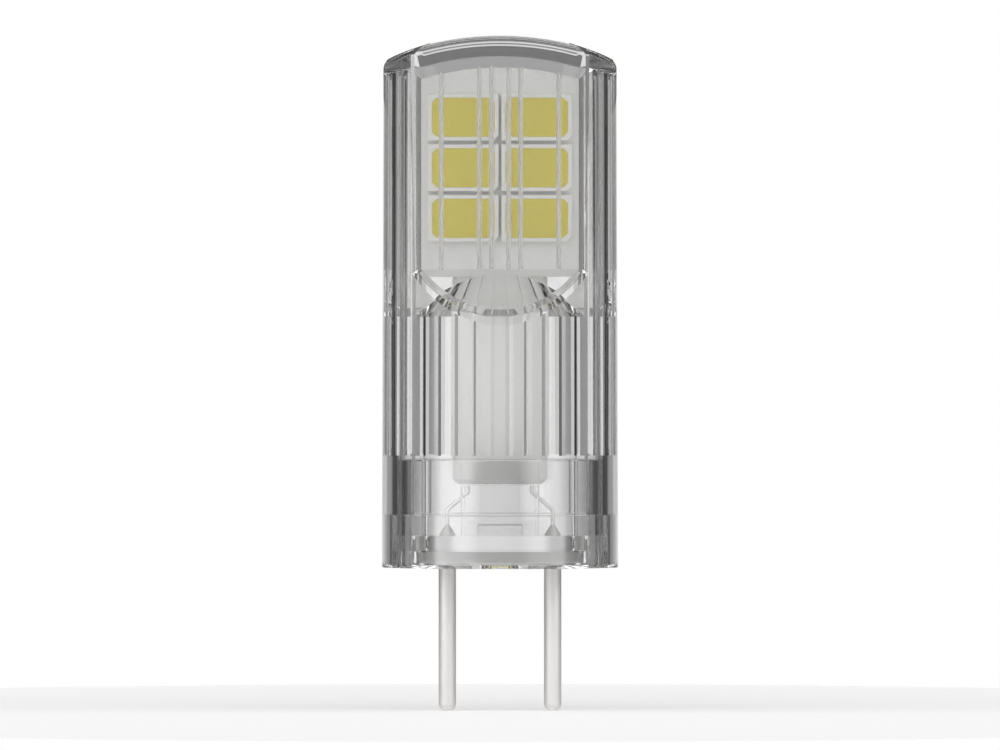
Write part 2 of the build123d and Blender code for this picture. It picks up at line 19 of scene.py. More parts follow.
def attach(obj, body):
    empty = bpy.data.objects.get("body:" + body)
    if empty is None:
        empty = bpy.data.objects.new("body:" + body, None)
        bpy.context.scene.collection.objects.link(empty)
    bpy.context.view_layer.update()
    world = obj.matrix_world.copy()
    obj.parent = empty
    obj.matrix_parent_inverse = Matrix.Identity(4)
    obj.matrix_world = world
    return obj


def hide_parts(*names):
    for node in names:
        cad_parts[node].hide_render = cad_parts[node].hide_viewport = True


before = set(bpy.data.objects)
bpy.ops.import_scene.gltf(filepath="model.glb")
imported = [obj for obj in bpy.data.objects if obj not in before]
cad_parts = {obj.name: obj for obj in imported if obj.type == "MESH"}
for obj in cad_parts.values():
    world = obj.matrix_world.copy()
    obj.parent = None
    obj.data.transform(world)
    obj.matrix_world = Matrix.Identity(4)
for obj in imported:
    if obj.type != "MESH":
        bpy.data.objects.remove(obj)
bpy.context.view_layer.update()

LOG = logging.getLogger("led_capsule")
MM = 0.001
FRAME_PIXELS = 1000
BODY = "root"
FROST = "frost"
# Millimetres: corners closer than WELD are one, and HAIR is the slack of a comparison.
WELD = 0.0005
HAIR = 0.01
FLAT = math.radians(0.5)
NODES: dict[str, bpy.types.Object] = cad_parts


class Side(Enum):
    """Which window an LED package looks out of."""

    FRONT = -1
    BACK = 1


class Hand(Enum):
    """Which of a mirrored pair a piece is."""

    LEFT = -1
    RIGHT = 1


def linear(colour: str) -> tuple[float, float, float, float]:
    """Turns an sRGB hex colour into linear RGBA.

    Args:
        colour: six hex digits after a hash sign.

    Returns:
        The linear red, green and blue, and an alpha of one.
    """
    channels = [int(colour[start : start + 2], 16) / 255 for start in (1, 3, 5)]
    bright = [
        value / 12.92 if value <= 0.04045 else ((value + 0.055) / 1.055) ** 2.4
        for value in channels
    ]
    return (*bright, 1.0)


def add_node(
    tree: bpy.types.NodeTree,
    kind: str,
    settings: dict[str, object] | None = None,
    inputs: dict[str | int, object] | None = None,
) -> bpy.types.Node:
    """Adds one node with its settings and links.

    Args:
        tree: the node tree that gets the node.
        kind: Blender's name for the node's type.
        settings: the node's own properties by name.
        inputs: for each socket, a value or the output socket that feeds it.

    Returns:
        The new node.
    """
    node = tree.nodes.new(kind)
    for name, value in (settings or {}).items():
        setattr(node, name, value)
    for key, value in (inputs or {}).items():
        if isinstance(value, bpy.types.NodeSocket):
            tree.links.new(value, node.inputs[key])
        else:
            node.inputs[key].default_value = value
    return node


def blend(
    tree: bpy.types.NodeTree,
    value: bpy.types.NodeSocket,
    span: tuple[float, float],
    first: bpy.types.NodeSocket | float,
    last: bpy.types.NodeSocket | float,
) -> bpy.types.NodeSocket:
    """Runs from one amount to another while a value crosses a span.

    Args:
        tree: the node tree.
        value: the value that is looked at.
        span: where the run starts and where it ends.
        first: the amount at the start and below it.
        last: the amount at the end and above it.

    Returns:
        The socket with the amount.
    """
    inputs = {0: value, 1: span[0], 2: span[1], 3: first, 4: last}
    return add_node(tree, "ShaderNodeMapRange", inputs=inputs).outputs[0]


def reckon(
    tree: bpy.types.NodeTree,
    operation: str,
    *values: bpy.types.NodeSocket | float,
) -> bpy.types.NodeSocket:
    """Works one sum on one or two values and gives the socket with its result."""
    inputs = dict(enumerate(values))
    return add_node(tree, "ShaderNodeMath", {"operation": operation}, inputs).outputs[0]


def dimmed(
    tree: bpy.types.NodeTree, colour: bpy.types.NodeSocket, share: bpy.types.NodeSocket
) -> bpy.types.NodeSocket:
    """Multiplies a colour by a share and gives the socket with the result."""
    inputs = {0: colour, "Scale": share}
    return add_node(tree, "ShaderNodeVectorMath", {"operation": "SCALE"}, inputs).outputs[0]


def start_material(name: str) -> tuple[bpy.types.Material, bpy.types.NodeTree, bpy.types.Node]:
    """Starts a node material.

    Args:
        name: the material's name.

    Returns:
        The material, its node tree and its Principled shader.
    """
    material = bpy.data.materials.new(name)
    material.use_nodes = True
    tree = material.node_tree
    return material, tree, tree.nodes["Principled BSDF"]


def noise_bump(
    tree: bpy.types.NodeTree,
    shader: bpy.types.Node,
    grain: float,
    depth: float,
    stretch: tuple[float, float, float] = (1.0, 1.0, 1.0),
) -> bpy.types.Node:
    """Gives a shader's surface a fine relief.

    Args:
        tree: the material's node tree.
        shader: the Principled shader.
        grain: width of one grain in metres.
        depth: height of the relief in metres.
        stretch: how much the grain is drawn out along X, Y and Z.

    Returns:
        The noise node, for a colour that follows the same grain.
    """
    place = add_node(tree, "ShaderNodeTexCoord")
    turned = add_node(
        tree,
        "ShaderNodeMapping",
        inputs={"Vector": place.outputs["Object"], "Scale": [1 / part for part in stretch]},
    )
    noise = add_node(
        tree,
        "ShaderNodeTexNoise",
        inputs={"Vector": turned.outputs["Vector"], "Scale": 1 / grain, "Detail": 3.0},
    )
    bump = add_node(
        tree,
        "ShaderNodeBump",
        inputs={"Strength": 1.0, "Distance": depth, "Height": noise.outputs["Fac"]},
    )
    tree.links.new(bump.outputs["Normal"], shader.inputs["Normal"])
    return noise


def mottle(
    tree: bpy.types.NodeTree,
    shader: bpy.types.Node,
    noise: bpy.types.Node,
    dark: str,
    pale: str,
    spread: tuple[float, float] = (0.3, 0.7),
) -> None:
    """Varies a shader's base colour with a noise.

    Args:
        tree: the material's node tree.
        shader: the Principled shader.
        noise: the noise that drives the colour.
        dark: the darker colour, as hex.
        pale: the paler colour, as hex.
        spread: the noise values at which the dark and the pale colour are reached.
    """
    ramp = add_node(tree, "ShaderNodeValToRGB", inputs={"Fac": noise.outputs["Fac"]})
    low, high = ramp.color_ramp.elements
    low.position, low.color = spread[0], linear(dark)
    high.position, high.color = spread[1], linear(pale)
    tree.links.new(ramp.outputs["Color"], shader.inputs["Base Color"])


@dataclass(frozen=True)
class ClearPolycarbonate:
    """Clear polycarbonate, injection moulded and polished: bright, with strong bending of light."""

    name: str = "clear_polycarbonate_polished"
    tint: str = "#F8F8F8"
    index: float = 1.585
    roughness: float = 0.0
    frost: float = 0.0
    ripple: float = 6.0 * MM
    ripple_depth: float = 0.002 * MM

    def make(self) -> bpy.types.Material:
        """Makes the finish, with the long faint ripples that the melt leaves."""
        material, tree, shader = start_material(self.name)
        shader.inputs["Base Color"].default_value = linear(self.tint)
        shader.inputs["Transmission Weight"].default_value = 1.0
        shader.inputs["IOR"].default_value = self.index
        shader.inputs["Roughness"].default_value = self.roughness
        if self.frost:
            matt = add_node(tree, "ShaderNodeAttribute", {"attribute_name": FROST})
            rough = blend(tree, matt.outputs["Fac"], (0.0, 1.0), self.roughness, self.frost)
            tree.links.new(rough, shader.inputs["Roughness"])
        if self.ripple_depth:
            noise_bump(tree, shader, self.ripple, self.ripple_depth)
        return material


@dataclass(frozen=True)
class MouldedPlastic:
    """Opaque plastic from a spark-eroded mould: an even colour under a fine satin grain."""

    name: str
    dark: str
    pale: str
    roughness: float = 0.45
    grain: float = 0.08 * MM
    depth: float = 0.002 * MM
    index: float = 1.52
    coat: float = 0.0

    def make(self) -> bpy.types.Material:
        """Makes the finish, its grain drawn at about twice its real width so that it shows."""
        material, tree, shader = start_material(self.name)
        shader.inputs["Roughness"].default_value = self.roughness
        shader.inputs["IOR"].default_value = self.index
        shader.inputs["Coat Weight"].default_value = self.coat
        noise = noise_bump(tree, shader, self.grain, self.depth)
        mottle(tree, shader, noise, self.dark, self.pale)
        return material


@dataclass(frozen=True)
class PhosphorSilicone:
    """Yellow phosphor powder in clear silicone: a grainy, soft yellow under a wet gloss."""

    name: str = "phosphor_silicone_dispensed"
    dark: str = "#D6C614"
    pale: str = "#E2D226"
    roughness: float = 0.22
    grain: float = 0.05 * MM
    depth: float = 0.001 * MM
    index: float = 1.46

    def make(self) -> bpy.types.Material:
        """Makes the finish, its powder drawn at three times its real width so that it shows."""
        material, tree, shader = start_material(self.name)
        shader.inputs["Roughness"].default_value = self.roughness
        shader.inputs["IOR"].default_value = self.index
        noise = noise_bump(tree, shader, self.grain, self.depth)
        mottle(tree, shader, noise, self.dark, self.pale)
        return material


@dataclass(frozen=True)
class PlatedMetal:
    """Plated metal rod: a satin shine with fine lines along the way that it was drawn."""

    name: str
    dark: str
    pale: str
    roughness: float = 0.25
    line: float = 0.05 * MM
    depth: float = 0.0008 * MM
    draw: float = 30.0

    def make(self) -> bpy.types.Material:
        """Makes the finish, with its drawn lines running along Z."""
        material, tree, shader = start_material(self.name)
        shader.inputs["Metallic"].default_value = 1.0
        shader.inputs["Roughness"].default_value = self.roughness
        noise = noise_bump(tree, shader, self.line, self.depth, (1.0, 1.0, self.draw))
        mottle(tree, shader, noise, self.dark, self.pale)
        return material


@dataclass(frozen=True)
class StudioWhite:
    """Matt white card: it shows as plain white and still takes the lamp's shadow."""

    name: str = "white_card_matt"
    colour: str = "#F4F4F4"
    lift: float = 0.3
    roughness: float = 0.9

    def make(self) -> bpy.types.Material:
        """Makes the finish, lifted to white for the rays that look at it or through glass."""
        material, tree, shader = start_material(self.name)
        shader.inputs["Base Color"].default_value = linear(self.colour)
        shader.inputs["Roughness"].default_value = self.roughness
        shader.inputs["Specular IOR Level"].default_value = 0.0
        rays = add_node(tree, "ShaderNodeLightPath").outputs
        seen = reckon(tree, "MAXIMUM", rays["Is Camera Ray"], rays["Is Glossy Ray"])
        any_ray = reckon(tree, "MAXIMUM", seen, rays["Is Transmission Ray"])
        glow = reckon(tree, "MULTIPLY", any_ray, self.lift)
        shader.inputs["Emission Color"].default_value = (1.0, 1.0, 1.0, 1.0)
        tree.links.new(glow, shader.inputs["Emission Strength"])
        return material


@dataclass
class Paintbox:
    """Every finish of the lamp, each made once."""

    clear: bpy.types.Material = field(init=False)
    plug: bpy.types.Material = field(init=False)
    sleeve: bpy.types.Material = field(init=False)
    plate: bpy.types.Material = field(init=False)
    resist: bpy.types.Material = field(init=False)
    housing: bpy.types.Material = field(init=False)
    phosphor: bpy.types.Material = field(init=False)
    pin: bpy.types.Material = field(init=False)
    tin: bpy.types.Material = field(init=False)
    laminate: bpy.types.Material = field(init=False)
    black: bpy.types.Material = field(init=False)
    ceramic: bpy.types.Material = field(init=False)
    ferrite: bpy.types.Material = field(init=False)

    def __post_init__(self) -> None:
        """Makes the finishes."""
        self.clear = ClearPolycarbonate(frost=0.45).make()
        self.plug = ClearPolycarbonate(name="clear_polycarbonate_plain", roughness=0.02).make()
        self.sleeve = MouldedPlastic("white_pbt_moulded", "#F2F2F0", "#F8F8F6").make()
        self.plate = MouldedPlastic("white_insulator_moulded", "#EEEEEC", "#F4F4F2", 0.5).make()
        self.resist = MouldedPlastic(
            "white_solder_resist", "#EDEDEB", "#F3F3F1", 0.35, 0.15 * MM, 0.001 * MM
        ).make()
        self.housing = MouldedPlastic(
            "white_reflector_resin", "#F1F0EC", "#F7F6F2", 0.4, 0.05 * MM, 0.001 * MM
        ).make()
        self.phosphor = PhosphorSilicone().make()
        self.pin = PlatedMetal(
            "nickel_plated_brass", "#D8D7D5", "#E0DFDD", 0.55, 0.05 * MM, 0.0002 * MM
        ).make()
        self.tin = PlatedMetal("tinned_copper", "#C8C8C6", "#D6D6D4", 0.3).make()
        self.laminate = MouldedPlastic(
            "glass_fibre_laminate", "#3F6A45", "#4C7A50", 0.4, 0.3 * MM, 0.001 * MM
        ).make()
        self.black = MouldedPlastic("black_epoxy_moulded", "#1B1B1C", "#262627", 0.5).make()
        self.ceramic = MouldedPlastic("tan_ceramic_fired", "#A08868", "#B59B78", 0.35).make()
        self.ferrite = MouldedPlastic("grey_ferrite_sintered", "#2F2F31", "#434346", 0.6).make()


def put_in_scene(
    name: str, mesh: bmesh.types.BMesh, finish: bpy.types.Material, crease: float
) -> bpy.types.Object:
    """Turns a worked shape into a piece that rides on the lamp.

    Args:
        name: the piece's name.
        mesh: the worked shape, in place; it is freed here.
        finish: the material that dresses it.
        crease: the angle in degrees above which an edge stays sharp.

    Returns:
        The new object.
    """
    data = bpy.data.meshes.new(name)
    mesh.to_mesh(data)
    mesh.free()
    data.shade_smooth()
    data.set_sharp_from_angle(angle=math.radians(crease))
    data.materials.append(finish)
    piece = bpy.data.objects.new(name, data)
    bpy.context.scene.collection.objects.link(piece)
    even = piece.modifiers.new("even_shading", "WEIGHTED_NORMAL")
    even.weight = 100
    even.keep_sharp = True
    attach(piece, BODY)
    return piece


def copy_of(node: str) -> bmesh.types.BMesh:
    """Starts a shape from a CAD node's own surface, with its coplanar triangles joined.

    Args:
        node: the node's name.

    Returns:
        A closed shape of merged corners, in metres.
    """
    mesh = bmesh.new()
    mesh.from_mesh(NODES[node].data)
    bmesh.ops.remove_doubles(mesh, verts=mesh.verts, dist=WELD * MM)
    bmesh.ops.dissolve_limit(mesh, angle_limit=FLAT, verts=mesh.verts, edges=mesh.edges)
    return mesh


def soften(mesh: bmesh.types.BMesh, width: float, segments: int, above: float) -> None:
    """Rounds the sharp edges of a shape.

    Args:
        mesh: the shape.
        width: width of the rounding in metres.
        segments: how many faces the rounding has.
        above: the angle in degrees above which an edge is rounded.
    """
    limit = math.radians(above)
    sharp = [
        edge for edge in mesh.edges if edge.is_manifold and edge.calc_face_angle(0.0) > limit
    ]
    bmesh.ops.bevel(
        mesh,
        geom=sharp,
        offset=width,
        offset_type="OFFSET",
        affect="EDGES",
        segments=segments,
        profile=0.5,
        material=-1,
        clamp_overlap=True,
    )


class Cut(Enum):
    """How a tool's solid meets the solid being worked."""

    AWAY = "DIFFERENCE"
    COMMON = "INTERSECT"
    JOIN = "UNION"


def disc_stack(
    low_radius: float, high_radius: float, low: float, high: float, sides: int
) -> bmesh.types.BMesh:
    """Makes an upright cone or cylinder, in millimetres.

    Args:
        low_radius: radius at the low end.
        high_radius: radius at the high end.
        low: height of the low end.
        high: height of the high end.
        sides: how many flat sides stand for the round one.

    Returns:
        The closed shape.
    """
    mesh = bmesh.new()
    bmesh.ops.create_cone(
        mesh,
        cap_ends=True,
        segments=sides,
        radius1=low_radius,
        radius2=high_radius,
        depth=high - low,
    )
    bmesh.ops.translate(mesh, verts=mesh.verts, vec=(0.0, 0.0, (low + high) / 2))
    return mesh


def prism(
    outline: list[tuple[float, float]], low: float, high: float, turn: Matrix | None = None
) -> bmesh.types.BMesh:
    """Makes a prism on a flat outline, in millimetres.

    Args:
        outline: the corners, in order, in the plane that the prism stands on.
        low: where the prism starts along its own height.
        high: where it ends.
        turn: the turn that lays the prism in its place.

    Returns:
        The closed shape.
    """
    mesh = bmesh.new()
    corners = [mesh.verts.new((first, second, low)) for first, second in outline]
    base = mesh.faces.new(corners)
    raised = bmesh.ops.extrude_face_region(mesh, geom=[base])["geom"]
    tops = [part for part in raised if isinstance(part, bmesh.types.BMVert)]
    bmesh.ops.translate(mesh, verts=tops, vec=(0.0, 0.0, high - low))
    if turn is not None:
        bmesh.ops.transform(mesh, matrix=turn, verts=mesh.verts)
    bmesh.ops.recalc_face_normals(mesh, faces=mesh.faces)
    return mesh


ALONG_X = Matrix(((0, 0, 1, 0), (1, 0, 0, 0), (0, 1, 0, 0), (0, 0, 0, 1)))


def machine(
    work: bmesh.types.BMesh, tool: bmesh.types.BMesh, how: Cut
) -> bmesh.types.BMesh:
    """Cuts one closed shape with another, or joins them.

    Args:
        work: the shape being worked; it is freed here.
        tool: the tool's shape; it is freed here.
        how: what is kept.

    Returns:
        The new closed shape.
    """
    blocks = []
    for label, mesh in (("work", work), ("tool", tool)):
        data = bpy.data.meshes.new(label)
        mesh.to_mesh(data)
        mesh.free()
        block = bpy.data.objects.new(label, data)
        bpy.context.scene.collection.objects.link(block)
        blocks.append(block)
    step = blocks[0].modifiers.new("step", "BOOLEAN")
    step.object = blocks[1]
    step.operation = how.value
    step.solver = "EXACT"
    graph = bpy.context.evaluated_depsgraph_get()
    result = bmesh.new()
    result.from_object(blocks[0], graph)
    for block in blocks:
        data = block.data
        bpy.data.objects.remove(block)
        bpy.data.meshes.remove(data)
    bmesh.ops.remove_doubles(result, verts=result.verts, dist=WELD)
    return result


def round_edges(
    mesh: bmesh.types.BMesh,
    width_of: Callable[[bmesh.types.BMEdge], float],
    segments: int = 6,
    above: float = 15.0,
) -> bmesh.types.BMesh:
    """Rounds the sharp edges of a closed shape, each by its own width.

    Args:
        mesh: the shape, in millimetres; it is freed here.
        width_of: gives the width of an edge's rounding in millimetres.
        segments: how many faces a rounding has.
        above: the angle in degrees above which an edge is rounded.

    Returns:
        The rounded shape.
    """
    widths = {
        edge.index: width_of(edge)
        for edge in mesh.edges
        if edge.is_manifold and edge.calc_face_angle(0.0) > math.radians(above)
    }
    widest = max(widths.values())
    data = bpy.data.meshes.new("work")
    mesh.to_mesh(data)
    mesh.free()
    shares = data.attributes.new("bevel_weight_edge", "FLOAT", "EDGE").data
    for index, width in widths.items():
        shares[index].value = width / widest
    block = bpy.data.objects.new("work", data)
    bpy.context.scene.collection.objects.link(block)
    step = block.modifiers.new("step", "BEVEL")
    step.width = widest
    step.offset_type = "OFFSET"
    step.limit_method = "WEIGHT"
    step.segments = segments
    step.use_clamp_overlap = False
    result = bmesh.new()
    result.from_object(block, bpy.context.evaluated_depsgraph_get())
    bpy.data.objects.remove(block)
    bpy.data.meshes.remove(data)
    bmesh.ops.remove_doubles(result, verts=result.verts, dist=WELD)
    return result


@dataclass
class ClearCover:
    """The drafted cover, flattened front and back, with an arched roof and a fluted bore.

    Lengths are in millimetres and angles in degrees. The shoulder's steps are counted from
    its foot, one for each rise that brings its ring to the window wall.
    """

    base_radius: float = 7.12
    top_radius: float = 7.02
    crown: float = 31.9
    roof_radius: float = 18.2
    window: float = 4.9
    window_foot: float = 17.9
    slope_foot: float = 15.0
    rounding: float = 0.45
    side_wall: float = 1.02
    window_wall: float = 1.0
    roof_wall: float = 1.2
    ceiling_chamfer: float = 0.7
    flutes: int = 36
    ridge: float = 0.08
    ridge_half_angle: float = 2.1
    bore_foot: float = 6.75
    bore_lap: float = 0.4
    lower_radius: float = 7.5
    shoulder_foot: float = 15.1015
    shoulder_rise: float = 2.3055
    shoulder_steps: tuple[float, float] = (-4.5, 1.25)
    spigot_radius: float = 6.2
    skirt_radius: float = 6.55
    seat: float = 3.2
    mouth: float = 0.2
    witness_drop: float = 0.02
    witness_width: float = 0.28
    witness_depth: float = 0.34
    witness_end: float = 1.6
    guides: tuple[float, ...] = (0.52, 1.24, 3.52)
    guide_width: float = 0.36
    guide_height: float = 0.18
    guide_slant: tuple[float, float] = (0.3, 0.95)
    guide_lean: float = 0.05
    sides: int = 192
    lower_sides: int = 48
    roof_steps: int = 360
    crease: float = 18.0
    lap: float = 0.05
    margin: float = 1.0
    beyond: float = 20.0
    tool_half: float = 9.0
    sliver: float = 0.04

    def edge_width(self, edge: bmesh.types.BMEdge) -> float:
        """Gives how wide the rounding of one outer edge is, from where the edge lies."""
        middle = (edge.verts[0].co + edge.verts[1].co) / 2
        return 0.0 if middle.z < self.window_foot + HAIR else self.rounding

    def side_outline(self) -> list[tuple[float, float]]:
        """Gives the outline of the flattened head, seen along X, as pairs of Y and Z."""
        run = self.base_radius - self.window
        reach = run + self.beyond
        low = self.window_foot - (self.window_foot - self.slope_foot) * reach / run
        depth = self.window
        right = [
            (depth, self.crown + self.beyond),
            (depth, self.window_foot),
            (depth + reach, low),
            (depth + reach, low - self.tool_half),
        ]
        return right + [(-across, height) for across, height in reversed(right)]

    def roof(self, radius: float, half: float, chamfer: float) -> bmesh.types.BMesh:
        """Makes a wheel about the roof's axis.

        Args:
            radius: the wheel's radius.
            half: half its width.
            chamfer: size of the cut at its rims.

        Returns:
            The wheel, lying along Y.
        """
        rim = [(half, 0.0), (half, radius - chamfer)]
        if chamfer:
            rim.append((half - chamfer, radius))
        section = rim + [(-across, height) for across, height in reversed(rim)]
        mesh = bmesh.new()
        chain = [mesh.verts.new((0.0, across, height)) for across, height in section]
        edges = [mesh.edges.new(pair) for pair in zip(chain, chain[1:])]
        bmesh.ops.spin(
            mesh,
            geom=chain + edges,
            cent=(0.0, 0.0, 0.0),
            axis=(0.0, 1.0, 0.0),
            angle=math.tau,
            steps=self.roof_steps,
            use_merge=True,
        )
        bmesh.ops.remove_doubles(mesh, verts=mesh.verts, dist=WELD)
        bmesh.ops.recalc_face_normals(mesh, faces=mesh.faces)
        bmesh.ops.translate(mesh, verts=mesh.verts, vec=(0.0, 0.0, self.crown - self.roof_radius))
        return mesh

    def bore_ring(self, share: float = 1.0) -> list[tuple[float, float]]:
        """Gives the fluted bore's outline, drawn in towards the axis to a share of its size."""
        radius = self.base_radius - self.side_wall
        corners = []
        for number in range(self.flutes):
            middle = (number + 0.5) * 360 / self.flutes - 90
            for angle, reach in (
                (middle - self.ridge_half_angle, radius),
                (middle, radius - self.ridge),
                (middle + self.ridge_half_angle, radius),
            ):
                turn = math.radians(angle)
                corners.append((share * reach * math.cos(turn), share * reach * math.sin(turn)))
        return corners

    def shoulder(self) -> bmesh.types.BMesh:
        """Makes the fluted pyramid that draws the flutes in above the bore's shoulder."""
        foot = self.shoulder_foot
        rise = self.shoulder_rise
        inner = self.window - self.window_wall
        taper = 1 - inner / (self.base_radius - self.side_wall)
        mesh = bmesh.new()
        rings = []
        for steps in self.shoulder_steps:
            ring = self.bore_ring(1 - taper * steps)
            rings.append([mesh.verts.new((x, y, foot + rise * steps)) for x, y in ring])
        low, high = rings
        mesh.faces.new(low)
        mesh.faces.new(high)
        for index in range(-1, len(low) - 1):
            mesh.faces.new((low[index], low[index + 1], high[index + 1], high[index]))
        bmesh.ops.recalc_face_normals(mesh, faces=mesh.faces)
        return mesh

    def core(self) -> bmesh.types.BMesh:
        """Makes the solid that leaves the cover's fluted inside."""
        inner = self.window - self.window_wall
        half = self.tool_half
        slab = prism(
            [(-half, -inner), (half, -inner), (half, inner), (-half, inner)],
            0.0,
            self.crown + 3 * self.margin,
        )
        core = machine(slab, self.shoulder(), Cut.JOIN)
        bore = prism(self.bore_ring(), self.bore_foot - self.bore_lap, self.crown + self.margin)
        core = machine(core, bore, Cut.COMMON)
        room = self.roof(self.roof_radius - self.roof_wall, inner, self.ceiling_chamfer)
        wide = self.lower_radius
        lower = disc_stack(wide, wide, 0.0, self.window_foot, self.lower_sides)
        core = machine(core, machine(room, lower, Cut.JOIN), Cut.COMMON)
        for side in (-1, 1):
            for place in (hand * offset for offset in self.guides for hand in (-1, 1)):
                face = side * (inner + self.lap)
                tip = side * (inner - self.guide_height)
                outline = [
                    (place - self.guide_width / 2, face),
                    (place, tip),
                    (place + self.guide_width / 2, face),
                ]
                guide = prism(outline, self.window_foot, self.crown + 2 * self.margin)
                core = machine(core, guide, Cut.AWAY)
        return core

    def witness(self, side: int) -> bmesh.types.BMesh:
        """Makes the thin tool that leaves the window insert's witness line on one side."""
        run, fall = self.base_radius - self.window, self.window_foot - self.slope_foot
        slant = math.hypot(run, fall)
        across, up = fall / slant, run / slant
        short, beyond = self.lap, self.witness_end
        high, low = -self.witness_drop, -self.witness_drop - self.witness_width
        start = (self.window + short * up, self.window_foot - short * across)
        end = (self.base_radius + beyond * up, self.slope_foot - beyond * across)
        corners = [
            (start[0] + across * high, start[1] + up * high),
            (end[0] + across * high, end[1] + up * high),
            (end[0] + across * low, end[1] + up * low),
            (start[0] + across * low, start[1] + up * low),
        ]
        half = self.tool_half
        bar = prism([(side * y, z) for y, z in corners], -half, half, ALONG_X)
        inside = (self.base_radius + self.top_radius) / 2 - self.witness_depth
        kept = disc_stack(inside, inside, self.margin, self.crown, self.sides)
        return machine(bar, kept, Cut.AWAY)

    def shell(self) -> bmesh.types.BMesh:
        """Makes the cover, outside first, then its rounded edges, then its inside."""
        drift = (self.base_radius - self.top_radius) / self.crown
        top = self.crown + self.margin
        body = disc_stack(self.base_radius, self.base_radius - drift * top, 0.0, top, self.sides)
        profile = prism(self.side_outline(), -self.beyond, self.beyond, ALONG_X)
        body = machine(body, profile, Cut.COMMON)
        body = machine(body, self.roof(self.roof_radius, self.beyond, 0.0), Cut.COMMON)
        bmesh.ops.remove_doubles(body, verts=body.verts, dist=self.sliver)
        for side in (-1, 1):
            body = machine(body, self.witness(side), Cut.AWAY)
        body = round_edges(body, self.edge_width)
        body = machine(body, self.core(), Cut.AWAY)
        for radius, high in (
            (self.spigot_radius, self.bore_foot),
            (self.skirt_radius, self.seat),
        ):
            room = disc_stack(radius, radius, -self.margin, high, self.sides)
            body = machine(body, room, Cut.AWAY)
        flare = disc_stack(
            self.skirt_radius + 2 * self.mouth, self.skirt_radius, -self.mouth, self.mouth, self.sides
        )
        return machine(body, flare, Cut.AWAY)

    def frost_guides(self, mesh: bmesh.types.BMesh) -> None:
        """Marks the slopes of the window ridges, which the mould leaves matt."""
        frost = mesh.faces.layers.float.new(FROST)
        inner = self.window - self.window_wall
        for face in mesh.faces:
            depth = abs(face.calc_center_median().y)
            flattest, steepest = self.guide_slant
            upright = abs(face.normal.z) < self.guide_lean
            slanted = flattest < abs(face.normal.x) < steepest and upright
            if slanted and inner - self.guide_height < depth < inner + 2 * HAIR:
                face[frost] = 1.0

    def build(self, finishes: Paintbox) -> bpy.types.Object:
        """Builds and dresses the cover.

        Args:
            finishes: the lamp's finishes.

        Returns:
            The cover.
        """
        mesh = self.shell()
        self.frost_guides(mesh)
        bmesh.ops.scale(mesh, vec=(MM, MM, MM), verts=mesh.verts)
        cover = put_in_scene("cover_shell", mesh, finishes.clear, self.crease)
        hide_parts("clear_cover")
        return cover


